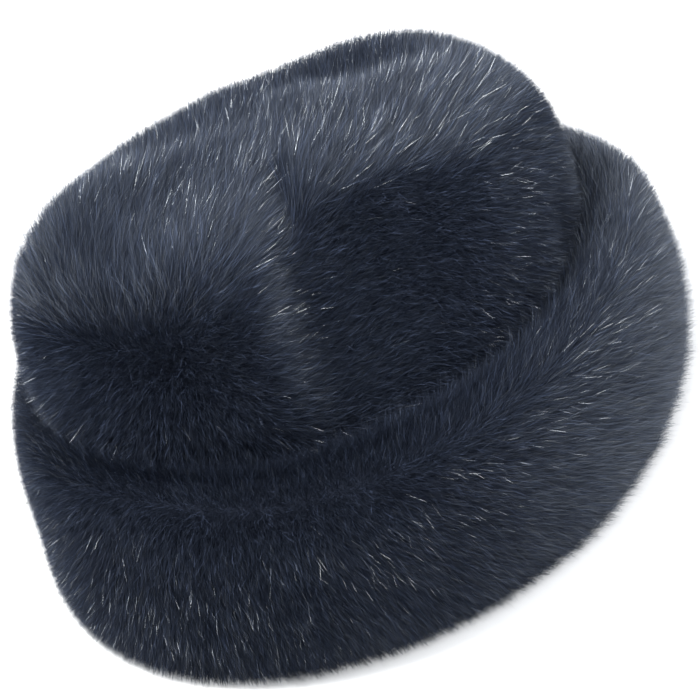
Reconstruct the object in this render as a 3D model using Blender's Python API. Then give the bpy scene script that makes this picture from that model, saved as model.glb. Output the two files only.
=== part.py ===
# A deep-pile faux fur hat: a soft domed crown with a tall turned-up cuff.
# Metres, +Z up. The front faces -Y and the hat rests on its rim at z = 0.
# A bearing turns from the front (-Y) through the wearer's left (+X) to the back.
# Reach is the distance outside the head line, the oval that the crown's wall follows inside.

import math
import random
from collections import namedtuple

import bmesh
import bpy
from mathutils import Matrix, Vector

# Head opening
HEAD_HALF_WIDTH = 0.083
HEAD_HALF_LENGTH = 0.096

# Cloth: backing, standing pile, and pile pressed flat behind the cuff
BACKING = 0.002
PILE = 0.013
PRESSED_PILE = 0.005

# Crown
CROWN_HEIGHT = 0.144
CROWN_START = 0.046
CROWN_SQUARENESS = 4.1
TIP_SEAM_SHARE = 0.79
CROWN_LEAN_LEFT = 0.11  # how much the top rises for each metre towards +X
CROWN_LEAN_FRONT = 0.065
CROWN_SWELL = 0.010
SHOULDER_RISE = 1.3  # how fast the shoulder's swell comes in up the wall
DENT_DEPTH = 0.013
DENT_SPREAD = 0.5  # share of the way out, inside which the dents widen

# The plane that the soft crown is pressed flat against, between the front and +X.
# The press ends in a fold towards the front, FACE_SPAN from the plane's own bearing.
FACE_BEARING = 58.0
FACE_RISE = 30.0  # how far it looks up
FACE_REACH = 0.1265  # its distance from the middle of the rim
FACE_SOFTNESS = 0.006
FACE_SPAN = 11.0
FACE_FOLD = 14.0

# Cuff
CUFF_HEIGHT = 0.077
CUFF_BULGE = 0.025
CREASE_DEPTH = 0.020
CREASE_DROP = 0.006
CREASE_WIDTH = 0.0048
CREASE_PRESS = 0.4  # share of the locks' height that is left in the crease
CREST_THINNING = 0.3  # share of it that is lost on the crest

# Locks of pile
LOCK_PITCH = 0.0122
LOCK_DEPTH = 0.0065
LOCK_TIP = 0.0015
LOCK_LEAN = 0.0062
LOCK_VARIATION = 0.25
NAP_BEARING = 135.0
LOCK_SEED = 7

# Clearances between the sewn pieces
SEAM_GAP = 0.0008
CUFF_GAP = 0.0005
FLOOR_GAP = 0.0004

# Cloth colour
FUR_COLOUR = (0.012, 0.016, 0.027, 1.0)
FUR_ROUGHNESS = 0.7
FUR_SHEEN = 0.4

PILE_REACH = BACKING + PILE

# How the outline swells round the hat, as shares: crest of CUFF_HEIGHT,
# bulge and foot of CUFF_BULGE, shoulder and top of CROWN_SWELL.
Station = namedtuple("Station", "bearing crest bulge foot shoulder top")
STATIONS = (
    Station(0, 0.14, -0.06, 0.08, 0.1, 0.0),
    Station(45, 0.08, 0.14, -0.06, 0.0, 0.0),
    Station(90, 0.02, 0.12, 0.0, 0.05, 0.0),
    Station(135, 0.0, 0.16, 0.10, 0.28, 0.2),
    Station(180, -0.11, -0.08, 0.0, 0.22, 0.4),
    Station(225, -0.10, 0.0, 0.0, -0.15, -0.25),
    Station(270, -0.05, -0.04, 0.0, 0.15, -0.1),
    Station(315, 0.02, -0.34, 0.22, 0.5, 0.4),
)

# The cuff's outer section, from its foot up over the crest into the crease, as shares:
# height of the local crest, reach of CUFF_BULGE, swell and foot of the station's bulge and foot.
Section = namedtuple("Section", "height reach swell foot")
CUFF_SECTION = (
    Section(0.0, 0.74, 0.3, 1.0),
    Section(0.18, 0.91, 0.7, 0.67),
    Section(0.38, 0.98, 1.0, 0.3),
    Section(0.57, 1.0, 1.0, 0.0),
    Section(0.77, 0.94, 1.0, 0.0),
    Section(0.935, 0.71, 0.75, 0.0),
    Section(1.0, 0.22, 0.2, 0.0),
)

# Dents (positive) and lobes (negative) of the soft crown. Level is the share of the way
# up the crown's wall, inward the share of the way in to its middle, spans are half-widths,
# depth is a share of DENT_DEPTH.
Dent = namedtuple("Dent", "bearing bearing_span level level_span inward inward_span depth")
CROWN_DENTS = (
    Dent(47, 13, 0.92, 0.45, 0.48, 0.42, 0.9),
    Dent(22, 19, 0.85, 0.35, 0.24, 0.36, -0.5),
    Dent(112, 11, 0.40, 0.25, 0.0, 0.25, 0.3),
    Dent(132, 12, 0.70, 0.30, 0.1, 0.35, -0.25),
    Dent(185, 56, 0.98, 0.16, 0.45, 0.36, 1.2),
    Dent(250, 16, 0.75, 0.25, 0.1, 0.35, 0.6),
    Dent(318, 26, 0.96, 0.20, 0.4, 0.35, -0.35),
)


def clear_scene():
    for item in list(bpy.data.objects):
        bpy.data.objects.remove(item, do_unlink=True)


def fur_material(name):
    material = bpy.data.materials.new(name)
    material.use_nodes = True
    shader = material.node_tree.nodes["Principled BSDF"]
    shader.inputs["Base Color"].default_value = FUR_COLOUR
    shader.inputs["Roughness"].default_value = FUR_ROUGHNESS
    shader.inputs["Metallic"].default_value = 0.0
    shader.inputs["Sheen Weight"].default_value = FUR_SHEEN
    material.diffuse_color = FUR_COLOUR
    return material


def bell(distance, span):
    share = min(abs(distance) / span, 1.0)
    return 0.5 + 0.5 * math.cos(math.pi * share)


def turn_between(bearing, other):
    return (bearing - other + 180.0) % 360.0 - 180.0


def station_at(bearing):
    step = 360.0 / len(STATIONS)
    index = int((bearing % 360.0) // step)
    low = STATIONS[index]
    high = STATIONS[(index + 1) % len(STATIONS)]
    share = bell(step - turn_between(bearing, low.bearing), step)
    return Station(*(a + (b - a) * share for a, b in zip(low, high)))


def spline_at(rows, share):
    place = min(share, 1.0) * (len(rows) - 1)
    index = min(int(place), len(rows) - 2)
    t = place - index
    near = [rows[max(0, min(len(rows) - 1, index + k))] for k in (-1, 0, 1, 2)]
    weights = (
        (-t + 2 * t**2 - t**3) / 2,
        (2 - 5 * t**2 + 3 * t**3) / 2,
        (t + 4 * t**2 - 3 * t**3) / 2,
        (-(t**2) + t**3) / 2,
    )
    return type(rows[0])(*(sum(w * v for w, v in zip(weights, column)) for column in zip(*near)))


def oval_point(bearing, reach, height):
    angle = math.radians(bearing)
    x = (HEAD_HALF_WIDTH + reach) * math.sin(angle)
    y = -(HEAD_HALF_LENGTH + reach) * math.cos(angle)
    return Vector((x, y, height))


def outward(bearing):
    angle = math.radians(bearing)
    return Vector((math.sin(angle), -math.cos(angle), 0.0))


def along(bearing):
    angle = math.radians(bearing)
    return Vector((math.cos(angle), math.sin(angle), 0.0))


def crest_height(bearing):
    return CUFF_HEIGHT * (1 + station_at(bearing).crest)


# The crown's shape: nested domes, each set in by its depth from the pile's outer face


def level_for(share):
    return (1 - share**CROWN_SQUARENESS) ** (1 / CROWN_SQUARENESS)


def share_for(level):
    return (1 - level**CROWN_SQUARENESS) ** (1 / CROWN_SQUARENESS)


def dent_at(bearing, level, share):
    total = 0.0
    for dent in CROWN_DENTS:
        turn = turn_between(bearing, dent.bearing)
        weight = bell(turn, dent.bearing_span * (1 + max(0.0, DENT_SPREAD - share)))
        weight *= bell(level - dent.level, dent.level_span)
        weight *= bell(1 - share - dent.inward, dent.inward_span)
        total += weight * dent.depth
    return DENT_DEPTH * total


def dome_point(bearing, level, share, depth):
    reach = PILE_REACH - depth
    point = oval_point(bearing, reach, 0.0) * share
    station = station_at(bearing)
    swell = CROWN_SWELL * station.shoulder * min(1.0, SHOULDER_RISE * level) * share
    dent = dent_at(bearing, level, share)
    side = share ** (CROWN_SQUARENESS - 1)
    rise = level ** (CROWN_SQUARENESS - 1)
    size = math.hypot(side, rise)
    point += outward(bearing) * (swell - dent * side / size)
    lean = CROWN_LEAN_LEFT * point.x - CROWN_LEAN_FRONT * point.y
    point.z = CROWN_START + (CROWN_HEIGHT - depth - CROWN_START) * level
    point.z += level * (lean + CROWN_SWELL * station.top * math.sqrt(share)) - dent * rise / size
    return point


def crown_point(bearing, level, share, depth):
    rise = math.radians(FACE_RISE)
    way = math.cos(rise) * outward(FACE_BEARING) + math.sin(rise) * Vector((0, 0, 1))
    past = dome_point(bearing, level, share, 0.0).dot(way) - FACE_REACH
    fold = bell(max(0.0, -turn_between(bearing, FACE_BEARING) - FACE_SPAN), FACE_FOLD)
    press = fold * (past + math.hypot(past, FACE_SOFTNESS)) / 2
    return dome_point(bearing, level, share, depth) - press * way


def cuff_point(bearing, share, depth):
    station = station_at(bearing)
    crest = crest_height(bearing)

    def face(at):
        row = spline_at(CUFF_SECTION, at)
        reach = row.reach + row.swell * station.bulge + row.foot * station.foot
        return Vector((PILE_REACH + CUFF_BULGE * reach, crest * row.height))

    here = face(share)
    step = 1 / (8 * len(CUFF_SECTION))
    run = face(min(1.0, share + step)) - face(max(0.0, share - step))
    run.normalize()
    inward = Vector((-run.y, run.x))
    place = here + inward * depth
    if share == 0:
        place = Vector((here.x - depth, 0.0))
    return oval_point(bearing, place.x, place.y)


# Rings of points round the hat, the faces between them and the locks of pile on those


def ring(mesh, cells, twist, place):
    return [mesh.verts.new(place(360.0 * (i + twist) / cells)) for i in range(cells)]


def bridge(mesh, low, high, offset=0):
    count = len(low)
    faces = []
    for i in range(count):
        j = (i + 1) % count
        corners = (low[i], low[j], high[(j + offset) % count], high[(i + offset) % count])
        faces.append(mesh.faces.new(corners))
    return faces


def raise_locks(mesh, faces, nap, height, chance):
    poked = bmesh.ops.poke(mesh, faces=faces, offset=0.0)
    for tip in poked["verts"]:
        tip.normal_update()
        grow = 1 + LOCK_VARIATION * chance.uniform(-1, 1)
        lean = LOCK_LEAN * (1 + LOCK_VARIATION * chance.uniform(-1, 1))
        sway = LOCK_LEAN * LOCK_VARIATION * chance.uniform(-1, 1)
        direction = nap(tip.co)
        across = tip.normal.cross(direction)
        tip.co += tip.normal * height(tip.co) * grow + direction * lean + across * sway
        tip.co.z = max(tip.co.z, FLOOR_GAP)


def finish(mesh, name):
    bmesh.ops.recalc_face_normals(mesh, faces=mesh.faces)
    data = bpy.data.meshes.new(name)
    mesh.to_mesh(data)
    mesh.free()
    data.materials.append(fur_material(name))
    item = bpy.data.objects.new(name, data)
    bpy.context.collection.objects.link(item)
    return item


def bearing_of(point):
    return math.degrees(math.atan2(point.x / HEAD_HALF_WIDTH, -point.y / HEAD_HALF_LENGTH))


def round_nap(point):
    return along(bearing_of(point))


def full_height(point):
    return LOCK_DEPTH + LOCK_TIP


def tip_cells():
    return round(math.pi * (HEAD_HALF_WIDTH + HEAD_HALF_LENGTH + 2 * PILE_REACH) / (4 * LOCK_PITCH))


# The crown's side band, from the rim up to the seam with the top panel


def make_crown_side():
    chance = random.Random(LOCK_SEED)
    mesh = bmesh.new()
    cells = 4 * tip_cells()
    seam_level = level_for(TIP_SEAM_SHARE)
    low_reach = BACKING + PRESSED_PILE
    lock_rows = round((CROWN_HEIGHT - CUFF_HEIGHT) / LOCK_PITCH)
    wall_rows = 3

    def crease_floor(bearing):
        return crest_height(bearing) - CREASE_DEPTH

    def crease_level(bearing):
        lowest = crest_height(bearing) - LOCK_DEPTH - CREASE_DROP
        return (lowest - CROWN_START) / (CROWN_HEIGHT - CROWN_START)

    def wall(reach, share):
        return lambda bearing: oval_point(bearing, reach, crease_floor(bearing) * share)

    def dome(depth, share):
        def place(bearing):
            low = crease_level(bearing)
            level = low + (seam_level - low) * share
            return crown_point(bearing, level, share_for(level), depth)

        return place

    inner = [ring(mesh, cells, 0, wall(0.0, row / wall_rows)) for row in range(wall_rows + 1)]
    for row in range(1, lock_rows + 1):
        inner.append(ring(mesh, cells, 0, dome(PILE_REACH, row / lock_rows)))
    outer = []
    for row in range(lock_rows, -1, -1):
        twist = (lock_rows - row) / 2
        outer.append(ring(mesh, cells, twist, dome(LOCK_DEPTH, row / lock_rows)))
    lower = []
    for row in range(wall_rows, -1, -1):
        lower.append(ring(mesh, cells, lock_rows / 2, wall(low_reach, row / wall_rows)))
    for rings in (inner, [outer[-1]] + lower):
        for low, high in zip(rings, rings[1:]):
            bridge(mesh, low, high)
    bridge(mesh, inner[-1], outer[0])
    bridge(mesh, lower[-1], inner[0], lock_rows // 2)
    locks = []
    for low, high in zip(outer, outer[1:]):
        locks += bridge(mesh, low, high)
    bmesh.ops.recalc_face_normals(mesh, faces=mesh.faces)

    def height(point):
        above = point.z - crest_height(bearing_of(point))
        return full_height(point) * min(1.0, max(CREASE_PRESS, CREASE_PRESS + above / CREASE_DEPTH))

    raise_locks(mesh, locks, round_nap, height, chance)
    return finish(mesh, "crown_side")


# The crown's top panel, on a square grid drawn out to the seam's oval


def make_crown_tip():
    chance = random.Random(LOCK_SEED + 1)
    mesh = bmesh.new()
    half = tip_cells() / 2
    count = tip_cells() + 1
    rim_share = TIP_SEAM_SHARE - SEAM_GAP / HEAD_HALF_WIDTH

    def spot(column, row, depth):
        x = column / half - 1
        y = row / half - 1
        size = max(abs(x), abs(y))
        if size == 0:
            return crown_point(0.0, 1.0, 0.0, depth)
        if abs(x) > abs(y):
            angle = 90.0 * math.copysign(1, x) + 45.0 * y / x
        else:
            angle = (180.0 if y > 0 else 0.0) - 45.0 * x / y
        share = size * rim_share
        return crown_point(angle, level_for(share), share, depth)

    layers = []
    for depth in (LOCK_DEPTH, PILE_REACH):
        grid = [[mesh.verts.new(spot(i, j, depth)) for i in range(count)] for j in range(count)]
        layers.append(grid)
    locks = []
    for layer, grid in enumerate(layers):
        for j in range(count - 1):
            for i in range(count - 1):
                corners = (grid[j][i], grid[j][i + 1], grid[j + 1][i + 1], grid[j + 1][i])
                face = mesh.faces.new(corners)
                if layer == 0:
                    locks.append(face)
    edge = [(i, 0) for i in range(count - 1)]
    edge += [(count - 1, j) for j in range(count - 1)]
    edge += [(count - 1 - i, count - 1) for i in range(count - 1)]
    edge += [(0, count - 1 - j) for j in range(count - 1)]
    bridge(mesh, *([grid[j][i] for i, j in edge] for grid in layers))
    bmesh.ops.recalc_face_normals(mesh, faces=mesh.faces)
    raise_locks(mesh, locks, lambda point: outward(NAP_BEARING), full_height, chance)
    return finish(mesh, "crown_tip")


# The turned-up cuff, padded, with its pile outside


def make_cuff():
    chance = random.Random(LOCK_SEED + 2)
    mesh = bmesh.new()
    reach = PILE_REACH + CUFF_BULGE
    cells = round(math.pi * (HEAD_HALF_WIDTH + HEAD_HALF_LENGTH + 2 * reach) / LOCK_PITCH)
    lock_rows = round((CUFF_HEIGHT + CUFF_BULGE / 2) / LOCK_PITCH)
    inner_reach = BACKING + PRESSED_PILE + CUFF_GAP

    def outer(share):
        return lambda bearing: cuff_point(bearing, share, LOCK_DEPTH)

    def inner(height_share):
        def place(bearing):
            top = crest_height(bearing) - CREASE_DEPTH
            return oval_point(bearing, inner_reach, top * height_share)

        return place

    def mouth(bearing):
        height = crest_height(bearing) - LOCK_DEPTH - CREASE_DROP
        return oval_point(bearing, PILE_REACH - LOCK_DEPTH + CREASE_WIDTH, height)

    locked = [ring(mesh, cells, row / 2, outer(row / lock_rows)) for row in range(lock_rows + 1)]
    twist = lock_rows / 2
    leaf = [ring(mesh, cells, twist, place) for place in (mouth, inner(1.0), inner(0.5), inner(0.0))]
    locks = []
    for low, high in zip(locked, locked[1:]):
        locks += bridge(mesh, low, high)
    rings = [locked[-1]] + leaf
    for low, high in zip(rings, rings[1:]):
        bridge(mesh, low, high)
    bridge(mesh, leaf[-1], locked[0], lock_rows // 2)
    bmesh.ops.recalc_face_normals(mesh, faces=mesh.faces)

    def height(point):
        above = point.z - crest_height(bearing_of(point)) + LOCK_DEPTH
        return full_height(point) * (1 - CREST_THINNING * bell(above, LOCK_DEPTH))

    raise_locks(mesh, locks, round_nap, height, chance)
    return finish(mesh, "cuff")


# The hat's middle stands over the origin


def centre(items):
    corners = [vertex.co for item in items for vertex in item.data.vertices]
    low = Vector((min(c.x for c in corners), min(c.y for c in corners), 0.0))
    high = Vector((max(c.x for c in corners), max(c.y for c in corners), 0.0))
    for item in items:
        item.data.transform(Matrix.Translation(-(low + high) / 2))


def main():
    clear_scene()
    centre((make_crown_side(), make_crown_tip(), make_cuff()))


main()
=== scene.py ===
import math

import bpy
import numpy as np
from mathutils import Matrix, Vector


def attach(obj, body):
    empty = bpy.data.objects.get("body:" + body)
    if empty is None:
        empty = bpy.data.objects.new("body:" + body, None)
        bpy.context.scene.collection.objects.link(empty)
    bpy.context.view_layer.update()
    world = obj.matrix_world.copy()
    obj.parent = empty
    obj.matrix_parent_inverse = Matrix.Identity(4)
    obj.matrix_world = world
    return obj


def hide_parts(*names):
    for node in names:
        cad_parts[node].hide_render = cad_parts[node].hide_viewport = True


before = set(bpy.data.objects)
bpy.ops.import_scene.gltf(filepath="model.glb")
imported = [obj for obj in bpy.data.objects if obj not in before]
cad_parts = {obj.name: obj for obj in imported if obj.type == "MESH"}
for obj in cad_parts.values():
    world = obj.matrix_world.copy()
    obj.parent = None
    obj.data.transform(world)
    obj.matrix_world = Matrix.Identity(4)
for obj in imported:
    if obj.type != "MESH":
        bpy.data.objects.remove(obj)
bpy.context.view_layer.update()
print("stage: frame loaded")

# A bearing turns from the hat's front (-Y) through its +X side, in degrees.
# Reach is the distance outside the head line, the oval inside the crown's wall.

hatForm = {  # in metres and degrees
    "headHalfWidth": 0.083,
    "headHalfLength": 0.096,
    "backing": 0.002,
    "pile": 0.013,
    "pressedPile": 0.005,
    "rootDepth": 0.0065,  # below the pile's face, where strands stand clear of the underfur
    "crownHeight": 0.144,
    "crownStart": 0.046,
    "squareness": 4.1,
    "seamShare": 0.79,
    "leanLeft": 0.11,  # how much the top rises for each metre towards +X
    "leanFront": 0.065,
    "swell": 0.010,
    "shoulderRise": 1.3,  # how fast the shoulder's swell comes in up the wall
    "dentDepth": 0.013,
    "dentSpread": 0.5,  # share of the way out, inside which the dents widen
    "faceBearing": 58.0,  # the plane that the crown is pressed flat against
    "faceRise": 30.0,
    "faceReach": 0.1265,
    "faceSoftness": 0.006,
    "faceSpan": 11.0,  # where the press ends in a fold, and how wide the fold is
    "faceFold": 14.0,
    "cuffHeight": 0.077,
    "cuffBulge": 0.025,
    "footTurn": 0.08,  # share of the cuff's section in which its foot turns upright
    "creaseDepth": 0.020,
    "shiftX": -0.0017,  # the oval's middle, off the middle of the hat's box
}
pileReach = hatForm["backing"] + hatForm["pile"]
# Half the distance between the two points that a slope is measured from
slopeSteps = {"bearing": 0.5, "cuffShare": 0.02, "crownRise": 0.01, "tipShare": 0.003}

stations = {  # at each eighth of a turn from the front
    "crest": (0.14, 0.08, 0.02, 0.0, -0.11, -0.10, -0.05, 0.02),
    "bulge": (-0.06, 0.14, 0.12, 0.16, -0.08, 0.0, -0.04, -0.34),
    "foot": (0.08, -0.06, 0.0, 0.10, 0.0, 0.0, 0.0, 0.22),
    "shoulder": (0.1, 0.0, 0.05, 0.28, 0.22, -0.15, 0.15, 0.5),
    "top": (0.0, 0.0, 0.0, 0.2, 0.4, -0.25, -0.1, 0.4),
}

cuffSection = {  # from the foot over the crest into the crease
    "height": (0.0, 0.18, 0.38, 0.57, 0.77, 0.935, 1.0),
    "reach": (0.74, 0.91, 0.98, 1.0, 0.94, 0.71, 0.22),
    "swell": (0.3, 0.7, 1.0, 1.0, 1.0, 0.75, 0.2),
    "foot": (1.0, 0.67, 0.3, 0.0, 0.0, 0.0, 0.0),
}

crownDents = (  # bearing and its span, level and span, way in and span, depth
    (47, 13, 0.92, 0.45, 0.48, 0.42, 0.9),
    (22, 19, 0.85, 0.35, 0.24, 0.36, -0.5),
    (112, 11, 0.40, 0.25, 0.0, 0.25, 0.3),
    (132, 12, 0.70, 0.30, 0.1, 0.35, -0.25),
    (185, 56, 0.98, 0.16, 0.45, 0.36, 1.2),
    (250, 16, 0.75, 0.25, 0.1, 0.35, 0.6),
    (318, 26, 0.96, 0.20, 0.4, 0.35, -0.35),
)


def bell(distance, span):
    return 0.5 + 0.5 * np.cos(np.pi * np.minimum(np.abs(distance) / span, 1.0))


def ease(low, high, value):
    share = np.clip((value - low) / (high - low), 0.0, 1.0)
    return share * share * (3 - 2 * share)


def stationAt(column, bearing):
    values = np.array(stations[column])
    place = (np.asarray(bearing, float) % 360.0) * len(values) / 360.0
    index = np.floor(place).astype(int) % len(values)
    share = 0.5 - 0.5 * np.cos(np.pi * (place - np.floor(place)))
    return values[index] + (values[(index + 1) % len(values)] - values[index]) * share


def sectionAt(column, share):
    values = np.array(cuffSection[column])
    place = np.clip(share, 0.0, 1.0) * (len(values) - 1)
    index = np.minimum(np.floor(place).astype(int), len(values) - 2)
    t = place - index
    weights = (
        (-t + 2 * t**2 - t**3) / 2,
        (2 - 5 * t**2 + 3 * t**3) / 2,
        (t + 4 * t**2 - 3 * t**3) / 2,
        (t**3 - t**2) / 2,
    )
    return sum(w * values[np.clip(index + k - 1, 0, len(values) - 1)] for k, w in enumerate(weights))


def ovalPoint(bearing, reach, height):
    angle = np.radians(bearing)
    x = (hatForm["headHalfWidth"] + reach) * np.sin(angle) + hatForm["shiftX"]
    y = -(hatForm["headHalfLength"] + reach) * np.cos(angle)
    return np.stack(np.broadcast_arrays(x, y, height), axis=-1).astype(float)


def outward(bearing):
    angle = np.radians(bearing)
    return np.stack([np.sin(angle), -np.cos(angle), 0 * angle], axis=-1)


def crestHeight(bearing):
    return hatForm["cuffHeight"] * (1 + stationAt("crest", bearing))


def otherShare(value):  # level from share and share from level
    power = hatForm["squareness"]
    return np.maximum(1 - np.asarray(value, float) ** power, 0.0) ** (1 / power)


def dentAt(bearing, level, share):
    total = 0.0
    for middle, span, rise, riseSpan, way, waySpan, depth in crownDents:
        turn = (bearing - middle + 180.0) % 360.0 - 180.0
        weight = bell(turn, span * (1 + np.maximum(0.0, hatForm["dentSpread"] - share)))
        weight = weight * bell(level - rise, riseSpan) * bell(1 - share - way, waySpan)
        total = total + weight * depth
    return hatForm["dentDepth"] * total


def crownDome(bearing, level, share, depth, dents):
    point = ovalPoint(bearing, pileReach - depth, 0.0)
    point[..., 0] -= hatForm["shiftX"]
    point *= share[..., None]
    rising = hatForm["shoulderRise"] * level
    swell = hatForm["swell"] * stationAt("shoulder", bearing) * np.minimum(1.0, rising) * share
    dent = dents * dentAt(bearing, level, share)
    side = share ** (hatForm["squareness"] - 1)
    rise = level ** (hatForm["squareness"] - 1)
    size = np.hypot(side, rise)
    point += outward(bearing) * (swell - dent * side / size)[..., None]
    lean = hatForm["leanLeft"] * point[..., 0] - hatForm["leanFront"] * point[..., 1]
    point[..., 2] = hatForm["crownStart"] + (hatForm["crownHeight"] - depth - hatForm["crownStart"]) * level
    top = hatForm["swell"] * stationAt("top", bearing) * np.sqrt(share)
    point[..., 2] += level * (lean + top) - dent * rise / size
    return point


def crownPoint(bearing, level, share, depth, dents=1.0):  # the dome with its face pressed flat
    bearing, level, share = np.broadcast_arrays(*(np.asarray(v, float) for v in (bearing, level, share)))
    rise = np.radians(hatForm["faceRise"])
    way = np.cos(rise) * outward(hatForm["faceBearing"]) + np.sin(rise) * np.array([0.0, 0.0, 1.0])
    past = crownDome(bearing, level, share, 0.0, dents) @ way - hatForm["faceReach"]
    turn = (bearing - hatForm["faceBearing"] + 180.0) % 360.0 - 180.0
    fold = bell(np.maximum(-turn - hatForm["faceSpan"], 0.0), hatForm["faceFold"])
    press = fold * (past + np.hypot(past, hatForm["faceSoftness"])) / 2
    point = crownDome(bearing, level, share, depth, dents) - press[..., None] * way
    point[..., 0] += hatForm["shiftX"]
    return point


def cuffFace(bearing, share):
    reach = sectionAt("reach", share) + sectionAt("swell", share) * stationAt("bulge", bearing)
    reach = reach + sectionAt("foot", share) * stationAt("foot", bearing)
    return pileReach + hatForm["cuffBulge"] * reach, crestHeight(bearing) * sectionAt("height", share)


def cuffPoint(bearing, share, depth):
    bearing, share = np.broadcast_arrays(np.asarray(bearing, float), np.asarray(share, float))
    step = slopeSteps["cuffShare"]
    reach, height = cuffFace(bearing, share)
    after, before = cuffFace(bearing, share + step), cuffFace(bearing, share - step)
    run, climb = after[0] - before[0], after[1] - before[1]
    size = np.hypot(run, climb)
    turn = ease(0.0, hatForm["footTurn"], share)  # the foot's inset runs level with the floor
    inset = depth * (1 - turn + turn * climb / size)
    return ovalPoint(bearing, reach - inset, height + turn * depth * run / size)


# Looks of the pile and of the cloth that it stands on


sheenRoughness = 0.4


def newMaterial(name, roughness, specular, sheen):
    material = bpy.data.materials.new(name)
    material.use_nodes = True
    nodes = material.node_tree.nodes
    shader = nodes["Principled BSDF"]
    shader.inputs["Roughness"].default_value = roughness
    shader.inputs["Specular IOR Level"].default_value = specular
    shader.inputs["Sheen Weight"].default_value = sheen
    shader.inputs["Sheen Roughness"].default_value = sheenRoughness
    return material, nodes, material.node_tree.links, shader


def rampOf(nodes, stops):
    ramp = nodes.new("ShaderNodeValToRGB").color_ramp
    while len(ramp.elements) < len(stops):
        ramp.elements.new(0.5)
    for element, (place, colour) in zip(ramp.elements, stops):
        element.position = place
        element.color = (*colour, 1.0)
    return nodes[-1]


pileLook = {
    # the root colour is lifted as painted light, to lighten the shade deep in the pile
    "rootColour": (0.0215, 0.0275, 0.0455),
    "bodyColour": (0.0180, 0.0236, 0.0400),
    "tipColour": (0.0200, 0.0255, 0.0415),
    "bodyAt": 0.45,  # share of the strand's length
    "specularTint": (0.88, 0.95, 1.0, 1.0),
}
strandLooks = {  # shades: how bright the strands are, from the darkest to the brightest few; the spread is random tone, and the guard coats' brightest few strands are painted highlight
    "undercoatStrands": {
        "strength": 1.0,
        "shades": ((0.0, 0.8), (1.0, 1.25)),
        "roughness": 0.55,
        "specular": 0.35,
    },
    # the guard coats' higher strength and their brightest shades are painted highlight: strands painted
    # bright in place of glints
    "guardStrands": {
        "strength": 1.4,
        "shades": ((0.0, 0.7), (0.7, 1.0), (0.85, 2.4), (1.0, 4.6)),
        "roughness": 0.23,
        "specular": 1.0,
    },
    "cuffGuardStrands": {
        "strength": 1.3,
        "shades": ((0.0, 0.7), (0.7, 1.0), (0.85, 2.3), (1.0, 4.4)),
        "roughness": 0.27,
        "specular": 1.0,
    },
}


def strandMaterial(name):
    look = strandLooks[name]
    strength = look["strength"]
    material, nodes, links, shader = newMaterial(name, look["roughness"], look["specular"], 0.0)
    shader.inputs["Specular Tint"].default_value = pileLook["specularTint"]
    strandMap = nodes.new("ShaderNodeUVMap")
    strandMap.uv_map = "OFBake"
    split = nodes.new("ShaderNodeSeparateXYZ")
    links.new(strandMap.outputs["UV"], split.inputs["Vector"])
    # along the strand: from the root colour, lifted as painted light, to the body and the tip
    alongRamp = rampOf(nodes, (
        (0.0, pileLook["rootColour"]),
        (pileLook["bodyAt"], [c * strength for c in pileLook["bodyColour"]]),
        (1.0, [c * strength for c in pileLook["tipColour"]]),
    ))
    links.new(split.outputs["Y"], alongRamp.inputs["Fac"])
    # across the strands: random tone, and painted highlight on the brightest few guard strands
    strandRamp = rampOf(nodes, [(place, (shade, shade, shade)) for place, shade in look["shades"]])
    links.new(split.outputs["X"], strandRamp.inputs["Fac"])
    mix = nodes.new("ShaderNodeMix")
    mix.data_type = "RGBA"
    mix.blend_type = "MULTIPLY"
    mix.inputs["Factor"].default_value = 1.0
    links.new(alongRamp.outputs["Color"], mix.inputs["A"])
    links.new(strandRamp.outputs["Color"], mix.inputs["B"])
    links.new(mix.outputs["Result"], shader.inputs["Base Color"])
    return material


underfurLook = {
    "dark": (0.018, 0.024, 0.042),
    "light": (0.032, 0.041, 0.068),
    "darkTo": 0.3,
    "lightFrom": 0.75,
    "grainPerMetre": 900.0,
    "grainDetail": 6.0,
    "grainHeight": 0.0006,
    "relief": 0.6,
    "roughness": 0.85,
    "specular": 0.2,
    "sheen": 0.05,
}


def underfurMaterial():
    finish = (underfurLook[k] for k in ("roughness", "specular", "sheen"))
    material, nodes, links, shader = newMaterial("underfur", *finish)
    place = nodes.new("ShaderNodeTexCoord")
    noise = nodes.new("ShaderNodeTexNoise")
    noise.inputs["Scale"].default_value = underfurLook["grainPerMetre"]
    noise.inputs["Detail"].default_value = underfurLook["grainDetail"]
    links.new(place.outputs["Object"], noise.inputs["Vector"])
    darkStop = (underfurLook["darkTo"], underfurLook["dark"])
    lightStop = (underfurLook["lightFrom"], underfurLook["light"])
    ramp = rampOf(nodes, (darkStop, lightStop))
    links.new(noise.outputs["Fac"], ramp.inputs["Fac"])
    links.new(ramp.outputs["Color"], shader.inputs["Base Color"])
    bump = nodes.new("ShaderNodeBump")
    bump.inputs["Strength"].default_value = underfurLook["relief"]
    bump.inputs["Distance"].default_value = underfurLook["grainHeight"]
    links.new(noise.outputs["Fac"], bump.inputs["Height"])
    links.new(bump.outputs["Normal"], shader.inputs["Normal"])
    return material


backingLook = {
    "dark": (0.020, 0.022, 0.027),
    "light": (0.036, 0.038, 0.044),
    "loopsPerMetre": 620.0,
    "loopsPerRib": 3,
    "ribUnevenness": 1.5,
    "ribDetail": 2.0,
    "loopHeight": 0.0002,
    "relief": 0.7,
    "roughness": 0.8,
    "specular": 0.3,
    "sheen": 0.25,
}


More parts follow.
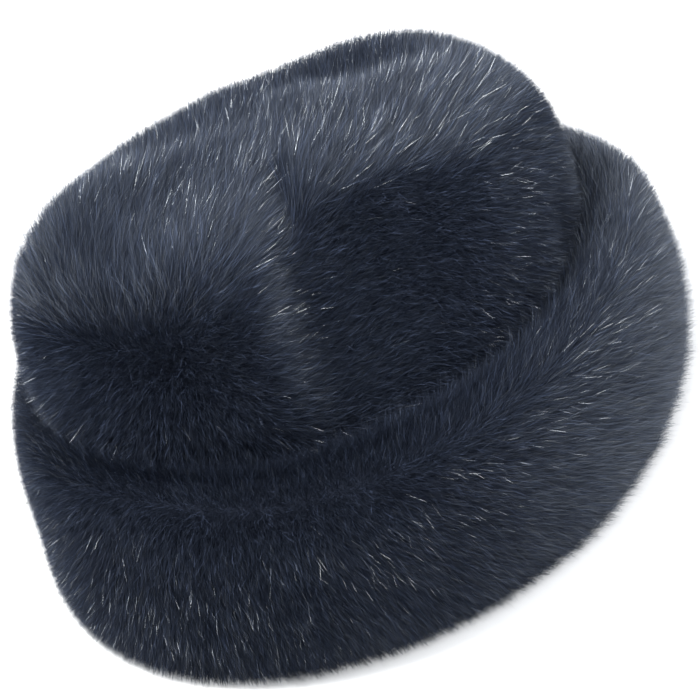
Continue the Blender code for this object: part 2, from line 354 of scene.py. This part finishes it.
def backingMaterial():
    finish = (backingLook[k] for k in ("roughness", "specular", "sheen"))
    material, nodes, links, shader = newMaterial("knittedBacking", *finish)
    place = nodes.new("ShaderNodeTexCoord")
    ribs = nodes.new("ShaderNodeTexWave")
    ribs.wave_type = "BANDS"
    ribs.bands_direction = "Z"
    ribs.inputs["Scale"].default_value = backingLook["loopsPerMetre"] / backingLook["loopsPerRib"]
    ribs.inputs["Distortion"].default_value = backingLook["ribUnevenness"]
    ribs.inputs["Detail"].default_value = backingLook["ribDetail"]
    links.new(place.outputs["Object"], ribs.inputs["Vector"])
    loops = nodes.new("ShaderNodeTexVoronoi")
    loops.inputs["Scale"].default_value = backingLook["loopsPerMetre"]
    links.new(place.outputs["Object"], loops.inputs["Vector"])
    ramp = rampOf(nodes, ((0.0, backingLook["dark"]), (1.0, backingLook["light"])))
    links.new(loops.outputs["Distance"], ramp.inputs["Fac"])
    links.new(ramp.outputs["Color"], shader.inputs["Base Color"])
    mix = nodes.new("ShaderNodeMath")
    mix.operation = "MULTIPLY"
    links.new(ribs.outputs["Fac"], mix.inputs[0])
    links.new(loops.outputs["Distance"], mix.inputs[1])
    bump = nodes.new("ShaderNodeBump")
    bump.inputs["Strength"].default_value = backingLook["relief"]
    bump.inputs["Distance"].default_value = backingLook["loopHeight"]
    links.new(mix.outputs["Value"], bump.inputs["Height"])
    links.new(bump.outputs["Normal"], shader.inputs["Normal"])
    return material


undercoatMaterial, guardMaterial, cuffGuardMaterial = [strandMaterial(name) for name in strandLooks]
underfur = underfurMaterial()
knittedBacking = backingMaterial()
print("stage: materials made")


# Skins: the cloth under the pile, each standing for one solid of the frame


def meshObject(name, points, faces, materials, shares=None):
    data = bpy.data.meshes.new(name)
    data.from_pydata([tuple(p) for p in points], [], faces)
    for material in materials:
        data.materials.append(material)
    if shares is not None:
        data.polygons.foreach_set("material_index", shares)
    data.shade_smooth()
    data.update()
    item = bpy.data.objects.new(name, data)
    bpy.context.scene.collection.objects.link(item)
    return item


def ringFaces(rings, count, closed, pick):
    faces, shares = [], []
    for r in range(rings if closed else rings - 1):
        low, high = r * count, ((r + 1) % rings) * count
        for i in range(count):
            j = (i + 1) % count
            faces.append((low + i, low + j, high + j, high + i))
            shares.append(pick(r))
    return faces, shares


skinForm = {
    "columns": 200,
    "wallRows": 4,  # the upright part of the crown's wall, behind the cuff
    "sideRows": 22,
    "sideStart": 0.4,  # share of the crease's depth over its floor, where the wall starts to round
    "tipRings": 16,
    "seamInset": 0.003,  # as a share of the crown's width
    "footRows": 3,
    "cuffRows": 30,
    "innerRows": 6,
    "cuffGap": 0.0005,  # between the cuff and the crown's wall
    "floorGap": 0.0004,
    "cuffStart": 0.001,  # share of the cuff's section
}


def makeSideSkin():
    bearings = np.linspace(0, 360, skinForm["columns"], endpoint=False)
    floor = crestHeight(bearings) - hatForm["creaseDepth"]
    start, height = hatForm["crownStart"], hatForm["crownHeight"]
    low = (floor + hatForm["creaseDepth"] * skinForm["sideStart"] - start) / (height - start)
    seam = otherShare(hatForm["seamShare"])
    lowReach = hatForm["backing"] + hatForm["pressedPile"]
    rows, wallRows = skinForm["sideRows"], skinForm["wallRows"]

    def dome(depth, share):
        level = low + (seam - low) * share
        return crownPoint(bearings, level, otherShare(level), depth)

    rings = [ovalPoint(bearings, 0.0, floor * k / wallRows) for k in range(wallRows + 1)]
    rings += [dome(pileReach, k / rows) for k in range(1, rows + 1)]
    inside = len(rings)
    rings += [dome(hatForm["rootDepth"], k / rows) for k in range(rows, -1, -1)]
    rings += [ovalPoint(bearings, lowReach, floor * k / wallRows) for k in range(wallRows, -1, -1)]
    faces, shares = ringFaces(len(rings), len(bearings), True, lambda r: int(r < inside - 1))
    faces = [tuple(reversed(f)) for f in faces]
    return meshObject("crownSideSkin", np.concatenate(rings), faces, (underfur, knittedBacking), shares)


def makeTipSkin():
    bearings = np.linspace(0, 360, skinForm["columns"], endpoint=False)
    count, rows = len(bearings), skinForm["tipRings"]
    layers = []
    for depth in (pileReach, hatForm["rootDepth"]):
        rings = []
        for k in range(1, rows + 1):
            share = (hatForm["seamShare"] - skinForm["seamInset"]) * k / rows
            rings.append(crownPoint(bearings, otherShare(share), share, depth))
        layers.append((crownPoint(0.0, 1.0, 0.0, depth), rings))
    points = [layers[0][0][None]] + layers[0][1] + layers[1][1][::-1] + [layers[1][0][None]]
    faces, shares = [], []
    for i in range(count):
        faces.append((0, 1 + (i + 1) % count, 1 + i))
        shares.append(1)
    total = 2 * rows
    bands, bandShares = ringFaces(total, count, False, lambda r: int(r < rows - 1))
    faces += [tuple(v + 1 for v in f) for f in bands]
    shares += bandShares
    last = 1 + (total - 1) * count
    for i in range(count):
        faces.append((last + i, last + (i + 1) % count, last + count))
        shares.append(0)
    return meshObject("crownTipSkin", np.concatenate(points), faces, (underfur, knittedBacking), shares)


def makeCuffSkin():
    bearings = np.linspace(0, 360, skinForm["columns"], endpoint=False)
    rows, footRows, innerRows = (skinForm[k] for k in ("cuffRows", "footRows", "innerRows"))
    lift = skinForm["floorGap"]
    inner = hatForm["backing"] + hatForm["pressedPile"] + skinForm["cuffGap"]
    top = crestHeight(bearings) - hatForm["creaseDepth"]
    footReach = cuffFace(bearings, 0 * bearings)[0] - hatForm["rootDepth"]
    rings = [ovalPoint(bearings, inner + (footReach - inner) * k / footRows, lift) for k in range(footRows)]
    for k in range(rows + 1):
        share = max(k / rows, skinForm["cuffStart"])
        rings.append(cuffPoint(bearings, share, hatForm["rootDepth"]) + (0, 0, lift))
    rings += [ovalPoint(bearings, inner, top * k / innerRows) for k in range(innerRows, 0, -1)]
    faces, shares = ringFaces(len(rings), len(bearings), True, lambda r: 0)
    return meshObject("cuffSkin", np.concatenate(rings), faces, (underfur,), shares)


sideSkin, tipSkin, cuffSkin = makeSideSkin(), makeTipSkin(), makeCuffSkin()
print("stage: skins made")


# Beds: the surfaces that strands grow from, with each strand's way and length


napWays = {  # lean of the strands at each eighth of a turn, as a share of their height
    "cuffAcross": (0.65, 0.50, 1.10, 1.00, 0.80, 0.70, 0.50, 0.35),
    "cuffDown": (0.12, 0.10, 0.0, 0.0, 0.05, 0.10, 0.10, 0.15),
    "sideAcross": (0.35, 0.75, 0.10, 0.0, 0.15, 0.30, 0.35, 0.20),
    "sideDown": (0.0, -0.25, 0.25, 0.20, 0.15, 0.0, 0.0, 0.0),
    "topStart": (0.45, 0.60, 0.62, 0.45, 0.40, 0.40, 0.30, 0.30),
    "crestUpright": (0.75, 0.80, 0.45, 0.0, 0.0, 0.0, 0.3, 0.6),
}
topNap = {
    "bearing": 165.0,
    "far": 0.45,
    "near": 1.6,
    "blend": 0.36,
    "nearBearing": 45.0,
    "span": (-0.05, 0.02),
    "softDents": 0.4,  # the nap follows a form with shallower dents
}
bedForm = {
    "degreesPerColumn": 1.5,
    "fewestColumns": 12,
    "nearFullness": 1.3,
    "farFullness": 0.7,
    "fullnessSpan": (-0.5, 0.1),
    "rootClearance": 0.0006,
    "floorClearance": 0.0003,
}
cuffBedForm = {  # shares of the cuff's section, from its foot to the crease
    "rows": 34,
    "from": 0.01,
    "to": 0.99,
    "rootsFrom": 0.012,
    "underRows": 4,  # rows that run in under the foot
    "underFrom": -0.1,
    "underTo": -0.02,
    "underReach": 0.008,
    "lift": 0.0012,
    "slopeSpan": (0.03, 0.97),
    "crestSpan": (0.45, 0.9),
    "droopSpan": (0.6, 0.95),
    "crestShortening": 0.15,
    "shorteningSpan": (0.9, 1.0),
    "lipRows": 6,
    "lipLength": 0.010,
    "lipDrop": 0.8,  # share of the crease's depth
    "lipGap": 0.002,
    "lipInward": 0.5,
}
crownBedForm = {
    "rows": 30,
    "creaseStart": 0.95,  # share of the crease's depth under the cuff's crest
    "creaseLength": 0.7,
    "tipColumns": 181,
    "tipFrom": 0.004,
}
stations.update(napWays)


def columnsOf(first, last):
    count = int((last - first) / bedForm["degreesPerColumn"])
    return np.linspace(first, last, max(bedForm["fewestColumns"], count))


def makeBed(name, bearings, grid, ways, lengths):
    rows, count = grid.shape[:2]
    faces = []
    for r in range(rows - 1):
        for i in range(count - 1):
            a = r * count + i
            faces.append((a, a + 1, a + count + 1, a + count))
    bed = meshObject(name, grid.reshape(-1, 3), faces, ())
    way = bed.data.attributes.new("strandWay", "FLOAT_VECTOR", "POINT")
    way.data.foreach_set("vector", ways.reshape(-1).astype(np.float32))
    nearness = np.cos(np.radians(bearings - topNap["nearBearing"]))
    near, far = bedForm["nearFullness"], bedForm["farFullness"]
    fullness = far + (near - far) * ease(*bedForm["fullnessSpan"], nearness)
    for attribute, values in (("strandLength", lengths), ("strandFullness", fullness)):
        stored = bed.data.attributes.new(attribute, "FLOAT", "POINT")
        stored.data.foreach_set("value", values.reshape(-1).astype(np.float32))
    return bed


def unit(vectors):
    return vectors / np.maximum(np.linalg.norm(vectors, axis=-1, keepdims=True), 1e-9)


def normalsOf(place, bearing, share, step):
    turn = slopeSteps["bearing"]
    across = place(bearing + turn, share) - place(bearing - turn, share)
    up = place(bearing, share + step) - place(bearing, share - step)
    return unit(np.cross(across, up)), unit(across), unit(up)


def keepOffFloor(points, ways, lengths):
    ways = unit(ways)
    lowest = (bedForm["rootClearance"] - points[..., 2]) / lengths
    ways[..., 2] = np.maximum(ways[..., 2], lowest)
    return unit(ways)


def cuffBed(name, first, last):
    form = cuffBedForm
    bearings = columnsOf(first, last)
    underShares = np.linspace(form["underFrom"], form["underTo"], form["underRows"])
    shares = np.concatenate([underShares, np.linspace(form["from"], form["to"], form["rows"])])
    b, s = np.meshgrid(bearings, shares)
    roots = np.maximum(s, form["rootsFrom"])
    under = np.clip(s / form["underFrom"], 0.0, 1.0) * form["underReach"]
    points = cuffPoint(b, roots, hatForm["rootDepth"]) - outward(b) * under[..., None]
    points[..., 2] += form["lift"]

    def pileFace(bearing, share):
        return cuffPoint(bearing, share, 0.0)

    normal, across, up = normalsOf(pileFace, b, np.clip(roots, *form["slopeSpan"]), slopeSteps["cuffShare"])
    lean = stationAt("cuffAcross", b) * (1 - stationAt("crestUpright", b) * ease(*form["crestSpan"], s))
    droop = stationAt("cuffDown", b) * (1 - ease(*form["droopSpan"], s))
    ways = normal + across * lean[..., None] - up * droop[..., None]
    shortening = 1 - form["crestShortening"] * ease(*form["shorteningSpan"], s)
    lengths = hatForm["rootDepth"] * np.linalg.norm(ways, axis=-1) * shortening
    lip, lipWays = cuffLip(bearings, points[-1], ways[-1])
    points, ways = np.concatenate([points, lip]), np.concatenate([ways, lipWays])
    b = np.concatenate([b, np.broadcast_to(bearings, (len(lip), len(bearings)))])
    lengths = np.concatenate([lengths, np.full(lip.shape[:2], form["lipLength"])])
    return makeBed(name, b, points, keepOffFloor(points, ways, lengths), lengths)


def cuffLip(bearings, crest, ways):  # from the crest's inner edge down into the crease
    reach = hatForm["backing"] + hatForm["pressedPile"] + cuffBedForm["lipGap"]
    drop = hatForm["creaseDepth"] * cuffBedForm["lipDrop"]
    floor = ovalPoint(bearings, reach, crestHeight(bearings) - drop)
    share = np.linspace(0.0, 1.0, cuffBedForm["lipRows"] + 1)[1:, None, None]
    inward = ways - outward(bearings) * cuffBedForm["lipInward"]
    return crest + (floor - crest) * share, ways + (inward - ways) * share


def crownPlace(b, rise):  # rise 0 at the crease, 1 at the top panel's seam
    start, height = hatForm["crownStart"], hatForm["crownHeight"]
    low = (crestHeight(b) - hatForm["creaseDepth"] * crownBedForm["creaseStart"] - start) / (height - start)
    level = low + (otherShare(hatForm["seamShare"]) - low) * rise
    return level, otherShare(level)


def crownWays(b, points, normal, across, up):
    wall = across * stationAt("sideAcross", b)[..., None] - up * stationAt("sideDown", b)[..., None]
    nap = outward(topNap["bearing"] + 0 * b)
    nap = unit(nap - normal * np.sum(nap * normal, axis=-1, keepdims=True))
    nearness = np.sum(points * outward(topNap["nearBearing"] + 0 * b), axis=-1)
    lean = topNap["far"] + (topNap["near"] - topNap["far"]) * ease(*topNap["span"], nearness)
    start = stationAt("topStart", b)
    top = ease(start, start + topNap["blend"], normal[..., 2])[..., None]
    return normal + wall * (1 - top) + nap * lean[..., None] * top


def sideBed(name, first, last):
    b, rise = np.meshgrid(columnsOf(first, last), np.linspace(0.0, 1.0, crownBedForm["rows"]))
    points = crownPoint(b, *crownPlace(b, rise), hatForm["rootDepth"])

    def softForm(bearing, share):
        return crownPoint(bearing, *crownPlace(bearing, share), 0.0, topNap["softDents"])

    ways = crownWays(b, points, *normalsOf(softForm, b, rise, slopeSteps["crownRise"]))
    above = points[..., 2] - crestHeight(b) + hatForm["creaseDepth"]
    least = crownBedForm["creaseLength"]
    press = least + (1 - least) * ease(0.0, hatForm["creaseDepth"], above)
    lengths = hatForm["rootDepth"] * np.linalg.norm(ways, axis=-1) * press
    return makeBed(name, b, points, unit(ways), lengths)


def tipBed(name):
    bearings = np.linspace(0.0, 360.0, crownBedForm["tipColumns"])
    shares = np.linspace(crownBedForm["tipFrom"], hatForm["seamShare"], crownBedForm["rows"])
    b, share = np.meshgrid(bearings, shares)
    points = crownPoint(b, otherShare(share), share, hatForm["rootDepth"])

    def softForm(bearing, out):
        return crownPoint(bearing, otherShare(np.abs(out)), np.abs(out), 0.0, topNap["softDents"])

    normal, across, up = normalsOf(softForm, b, share, slopeSteps["tipShare"])
    ways = crownWays(b, points, -normal, across, -up)
    lengths = hatForm["rootDepth"] * np.linalg.norm(ways, axis=-1)
    return makeBed(name, b, points, unit(ways), lengths)


# Growing the pile: one Geometry Nodes tree, run once for each bed and coat


treeForm = {
    "mergeDistance": 0.0001,
    "swirl": {"Scale": 45.0, "Detail": 2.0, "Roughness": 0.6},  # slow turns of the nap
    "tintShare": 0.97,  # of the map's width, which runs over the strands' shades
}


def growTree():
    tree = bpy.data.node_groups.new("growPile", "GeometryNodeTree")
    face = tree.interface
    for name, kind in (
        ("Geometry", "NodeSocketGeometry"),
        ("Density", "NodeSocketFloat"),
        ("Seed", "NodeSocketInt"),
        ("Strand Width", "NodeSocketFloat"),
        ("Length From", "NodeSocketFloat"),
        ("Length To", "NodeSocketFloat"),
        ("Strand Stray", "NodeSocketFloat"),
        ("Swirl", "NodeSocketFloat"),
        ("Tuft Size", "NodeSocketFloat"),
        ("Tuft Pull", "NodeSocketFloat"),
        ("Roll", "NodeSocketFloat"),
        ("Material", "NodeSocketMaterial"),
    ):
        face.new_socket(name, in_out="INPUT", socket_type=kind)
    face.new_socket("Geometry", in_out="OUTPUT", socket_type="NodeSocketGeometry")
    nodes, links = tree.nodes, tree.links
    given = nodes.new("NodeGroupInput").outputs

    def wire(kind, values=(), **settings):
        node = nodes.new(kind)
        for key, value in settings.items():
            setattr(node, key, value)
        for key, value in dict(values).items():
            socket = node.inputs[key]
            if isinstance(value, bpy.types.NodeSocket):
                links.new(value, socket)
            else:
                socket.default_value = value
        return node

    def vector(operation, a, b=None, scale=None):
        values = {0: a}
        if b is not None:
            values[1] = b
        if scale is not None:
            values["Scale"] = scale
        return wire("ShaderNodeVectorMath", values, operation=operation).outputs["Vector"]

    def maths(operation, a, b=0.0):
        return wire("ShaderNodeMath", {0: a, 1: b}, operation=operation).outputs["Value"]

    def named(name, kind):
        return wire("GeometryNodeInputNamedAttribute", {"Name": name}, data_type=kind).outputs["Attribute"]

    def chance(kind, low, high, offset):
        seed = wire("FunctionNodeIntegerMath", {0: given["Seed"], 1: offset}, operation="ADD").outputs[0]
        node = nodes.new("FunctionNodeRandomValue")
        node.data_type = kind
        sockets = [s for s in node.inputs if s.enabled]
        for socket, value in zip(sockets[:2], (low, high)):
            if isinstance(value, bpy.types.NodeSocket):
                links.new(value, socket)
            else:
                socket.default_value = value
        links.new(seed, node.inputs["Seed"])
        return [s for s in node.outputs if s.enabled][0]

    # one strand: a strip of unit length that tapers to a point
    strip = wire("GeometryNodeMeshGrid", {"Size X": 1.0, "Size Y": 1.0, "Vertices X": 2, "Vertices Y": 2})
    place = wire("ShaderNodeSeparateXYZ", {0: wire("GeometryNodeInputPosition").outputs[0]})
    along = maths("ADD", place.outputs["Y"], 0.5)
    across = maths("MULTIPLY", place.outputs["X"], maths("SUBTRACT", 1.0, along))
    shaped = wire("ShaderNodeCombineXYZ", {"X": across, "Z": along}).outputs[0]
    blade = wire("GeometryNodeSetPosition", {"Geometry": strip.outputs["Mesh"], "Position": shaped})
    mapped = wire(
        "GeometryNodeStoreNamedAttribute",
        {"Geometry": blade.outputs[0], "Name": "OFBake", "Value": strip.outputs["UV Map"]},
        data_type="FLOAT2",
        domain="CORNER",
    )
    merge = {"Geometry": mapped.outputs[0], "Distance": treeForm["mergeDistance"]}
    pointed = wire("GeometryNodeMergeByDistance", merge)

    # where the strands stand
    scatter = wire(
        "GeometryNodeDistributePointsOnFaces",
        {
            "Mesh": given["Geometry"],
            "Density": maths("MULTIPLY", given["Density"], named("strandFullness", "FLOAT")),
            "Seed": given["Seed"],
        },
        distribute_method="RANDOM",
    )
    spot = wire("GeometryNodeInputPosition").outputs[0]
    way = named("strandWay", "FLOAT_VECTOR")
    length = named("strandLength", "FLOAT")
    swirl = wire("ShaderNodeTexNoise", {"Vector": spot, **treeForm["swirl"]}).outputs["Color"]
    swirl = vector("SUBTRACT", swirl, (0.5, 0.5, 0.5))
    swirl = vector("SCALE", swirl, scale=given["Swirl"])
    stray = chance("FLOAT_VECTOR", (-1.0, -1.0, -1.0), (1.0, 1.0, 1.0), 1)
    stray = vector("SCALE", stray, scale=given["Strand Stray"])
    cells = wire("ShaderNodeTexVoronoi", {"Vector": spot, "Scale": maths("DIVIDE", 1.0, given["Tuft Size"])})
    pull = vector("SUBTRACT", cells.outputs["Position"], spot)
    pull = vector("SCALE", pull, scale=maths("DIVIDE", given["Tuft Pull"], given["Tuft Size"]))
    way = vector("NORMALIZE", vector("ADD", vector("ADD", way, swirl), vector("ADD", stray, pull)))
    upright = wire("FunctionNodeAlignRotationToVector", {"Vector": way}, axis="Z")
    faced = wire(
        "FunctionNodeAlignRotationToVector",
        {"Rotation": upright.outputs[0], "Vector": scatter.outputs["Normal"]},
        axis="Y",
        pivot_axis="Z",
    )
    roll = chance("FLOAT", maths("MULTIPLY", given["Roll"], -1.0), given["Roll"], 2)
    twist = wire("FunctionNodeAxisAngleToRotation", {"Axis": (0.0, 0.0, 1.0), "Angle": roll})
    turned = wire(
        "FunctionNodeRotateRotation",
        {"Rotation": faced.outputs[0], "Rotate By": twist.outputs[0]},
        rotation_space="LOCAL",
    )
    reach = maths("MULTIPLY", length, chance("FLOAT", given["Length From"], given["Length To"], 3))
    size = wire("ShaderNodeCombineXYZ", {"X": given["Strand Width"], "Y": reach, "Z": reach})
    # each strand's random shade; on the guard coats its top end picks the strands painted bright as
    # highlight
    tint = wire(
        "GeometryNodeStoreNamedAttribute",
        {"Geometry": scatter.outputs["Points"], "Name": "tint", "Value": chance("FLOAT", 0.0, 1.0, 4)},
        data_type="FLOAT",
        domain="POINT",
    )
    strands = wire(
        "GeometryNodeInstanceOnPoints",
        {
            "Points": tint.outputs[0],
            "Instance": pointed.outputs[0],
            "Rotation": turned.outputs[0],
            "Scale": size.outputs[0],
        },
    )
    real = wire("GeometryNodeRealizeInstances", {"Geometry": strands.outputs[0]})

    # what would reach through the surface that the hat rests on lies flat on it
    spread = wire("ShaderNodeSeparateXYZ", {0: wire("GeometryNodeInputPosition").outputs[0]})
    lifted = maths("MAXIMUM", spread.outputs["Z"], bedForm["floorClearance"])
    laid = wire("ShaderNodeCombineXYZ", {"X": spread.outputs["X"], "Y": spread.outputs["Y"], "Z": lifted})
    real = wire("GeometryNodeSetPosition", {"Geometry": real.outputs[0], "Position": laid.outputs[0]})
    uv = wire("ShaderNodeSeparateXYZ", {0: named("OFBake", "FLOAT_VECTOR")})
    shade = maths("MULTIPLY", named("tint", "FLOAT"), treeForm["tintShare"])
    u = maths("ADD", shade, maths("MULTIPLY", uv.outputs["X"], 1 - treeForm["tintShare"]))
    bake = wire(
        "GeometryNodeStoreNamedAttribute",
        {
            "Geometry": real.outputs[0],
            "Name": "OFBake",
            "Value": wire("ShaderNodeCombineXYZ", {"X": u, "Y": uv.outputs["Y"]}).outputs[0],
        },
        data_type="FLOAT2",
        domain="CORNER",
    )
    coloured = wire("GeometryNodeSetMaterial", {"Geometry": bake.outputs[0], "Material": given["Material"]})
    links.new(coloured.outputs[0], nodes.new("NodeGroupOutput").inputs[0])
    return tree


def growPile(bed, name, tree, look, material, seed):
    modifier = bed.modifiers.new("pile", "NODES")
    modifier.node_group = tree
    sockets = {s.name: s.identifier for s in tree.interface.items_tree if s.in_out == "INPUT"}
    for key, value in dict(look, **{"Material": material, "Seed": seed}).items():
        modifier[sockets[key]] = value
    graph = bpy.context.evaluated_depsgraph_get()
    data = bpy.data.meshes.new_from_object(bed.evaluated_get(graph), depsgraph=graph)
    bed.modifiers.remove(modifier)
    data.name = name
    for extra in ("tint", "strandWay", "strandLength", "strandFullness"):
        if extra in data.attributes:
            data.attributes.remove(data.attributes[extra])
    pile = bpy.data.objects.new(name, data)
    bpy.context.scene.collection.objects.link(pile)
    print("stage:", name, "grown,", len(data.polygons), "strands")
    return pile


undercoatLook = {
    "Density": 3.4e6,
    "Strand Width": 0.00022,
    "Length From": 0.70,
    "Length To": 1.15,
    "Strand Stray": 0.18,
    "Swirl": 0.55,
    "Tuft Size": 0.0050,
    "Tuft Pull": 0.20,
    "Roll": 1.5,
}

guardLook = {
    "Density": 1.9e6,
    "Strand Width": 0.00017,
    "Length From": 0.95,
    "Length To": 1.50,
    "Strand Stray": 0.45,
    "Swirl": 0.6,
    "Tuft Size": 0.0030,
    "Tuft Pull": 0.18,
    "Roll": 1.5,
}

cuffSplit = 105.0  # bearing where the cuff's front pile meets its back pile
pileSeeds = {"undercoat": 10, "guardHair": 40}


def growAll():
    tree = growTree()
    beds = (
        ("cuffFront", cuffBed("bedCuffFront", cuffSplit - 180.0, cuffSplit), cuffGuardMaterial),
        ("cuffBack", cuffBed("bedCuffBack", cuffSplit, cuffSplit + 180.0), cuffGuardMaterial),
        ("crownSide", sideBed("bedSide", 0.0, 360.0), guardMaterial),
        ("crownTip", tipBed("bedTip"), guardMaterial),
    )
    piles = []
    for number, (name, bed, guard) in enumerate(beds):
        seeds = [seed + number for seed in pileSeeds.values()]
        piles.append(growPile(bed, name + "Undercoat", tree, undercoatLook, undercoatMaterial, seeds[0]))
        piles.append(growPile(bed, name + "GuardHair", tree, guardLook, guard, seeds[1]))
        bpy.data.objects.remove(bed, do_unlink=True)
    return piles


piles = growAll()
print("stage: pile grown")

for skin, node in ((sideSkin, "crown_side"), (tipSkin, "crown_tip"), (cuffSkin, "cuff")):
    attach(skin, "root")
    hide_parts(node)
for pile in piles:
    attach(pile, "root")


# Floor, light and camera

stageLook = {
    "floorHalf": 4.0,
    "floorColour": (0.95, 0.95, 0.95),
    "floorGlow": 0.3,
    "floorRoughness": 0.8,
    "floorSpecular": 0.2,
    "mottlePerMetre": 3.0,
    "mottleDepth": 0.01,
    "worldColour": (0.93, 0.97, 1.0),
    "worldStrength": 1.0,
}
lamps = (  # name, bearing, height angle, distance, size, power, colour
    ("keyLight", 335.0, 72.0, 1.4, 0.4, 30.0, (1.0, 0.99, 0.97)),
    ("sideLight", 120.0, 34.0, 1.5, 1.6, 16.0, (0.97, 0.97, 1.0)),
)


def makeFloor():
    half = stageLook["floorHalf"]
    corners = [(-half, -half, 0.0), (half, -half, 0.0), (half, half, 0.0), (-half, half, 0.0)]
    finish = (stageLook["floorRoughness"], stageLook["floorSpecular"])
    material, nodes, links, shader = newMaterial("paleFloor", *finish, 0.0)
    place = nodes.new("ShaderNodeTexCoord")
    noise = nodes.new("ShaderNodeTexNoise")
    noise.inputs["Scale"].default_value = stageLook["mottlePerMetre"]
    links.new(place.outputs["Object"], noise.inputs["Vector"])
    pale = stageLook["floorColour"]
    ramp = rampOf(nodes, ((0.0, [c * (1 - stageLook["mottleDepth"]) for c in pale]), (1.0, pale)))
    links.new(noise.outputs["Fac"], ramp.inputs["Fac"])
    links.new(ramp.outputs["Color"], shader.inputs["Base Color"])
    shader.inputs["Emission Color"].default_value = (*pale, 1.0)
    shader.inputs["Emission Strength"].default_value = stageLook["floorGlow"]
    floor = meshObject("floor", corners, [(0, 1, 2, 3)], (material,))


def makeLight(name, bearing, rise, distance, size, power, colour):
    light = bpy.data.lights.new(name, "AREA")
    light.shape = "DISK"
    light.size = size
    light.energy = power
    light.color = colour
    level = math.cos(math.radians(rise))
    way = Vector((*(outward(bearing)[:2] * level), math.sin(math.radians(rise))))
    item = bpy.data.objects.new(name, light)
    item.location = way * distance
    item.rotation_euler = way.to_track_quat("Z", "Y").to_euler()
    bpy.context.scene.collection.objects.link(item)


def makeStage():
    makeFloor()
    world = bpy.data.worlds.new("studio")
    bpy.context.scene.world = world
    world.use_nodes = True
    back = world.node_tree.nodes["Background"]
    back.inputs["Color"].default_value = (*stageLook["worldColour"], 1.0)
    back.inputs["Strength"].default_value = stageLook["worldStrength"]
    for lamp in lamps:
        makeLight(*lamp)
    bpy.context.scene.view_settings.view_transform = "Standard"


cameraPlace = {
    "azimuth": 45.0,
    "elevation": 34.645,
    "roll": 19.696,
    "distance": 0.98023,
    "pixelsPerMillimetre": 2.7236,  # at the target
    "right": 0.01107,  # the camera's shift across the view
    "up": -0.01155,
    "targetHeight": 0.060,
    "photoPixels": 700,
}


def makeCamera():
    azimuth, elevation, roll = (math.radians(cameraPlace[k]) for k in ("azimuth", "elevation", "roll"))
    flat = math.cos(elevation)
    back = Vector((math.sin(azimuth) * flat, -math.cos(azimuth) * flat, math.sin(elevation)))
    level = Vector((math.cos(azimuth), math.sin(azimuth), 0.0))
    upright = back.cross(level)
    right = level * math.cos(roll) - upright * math.sin(roll)
    up = upright * math.cos(roll) + level * math.sin(roll)
    data = bpy.data.cameras.new("camera")
    pixelsPerMetre = cameraPlace["pixelsPerMillimetre"] * 1000
    widthsPerMetre = pixelsPerMetre / cameraPlace["photoPixels"]
    data.lens = widthsPerMetre * cameraPlace["distance"] * data.sensor_width
    item = bpy.data.objects.new("camera", data)
    place = Vector((hatForm["shiftX"], 0.0, cameraPlace["targetHeight"]))
    place += back * cameraPlace["distance"] + right * cameraPlace["right"] + up * cameraPlace["up"]
    turn = Matrix((right, up, back)).transposed().to_4x4()
    item.matrix_world = Matrix.Translation(place) @ turn
    bpy.context.scene.collection.objects.link(item)
    bpy.context.scene.camera = item


makeStage()
makeCamera()
print("stage: floor, light and camera made")
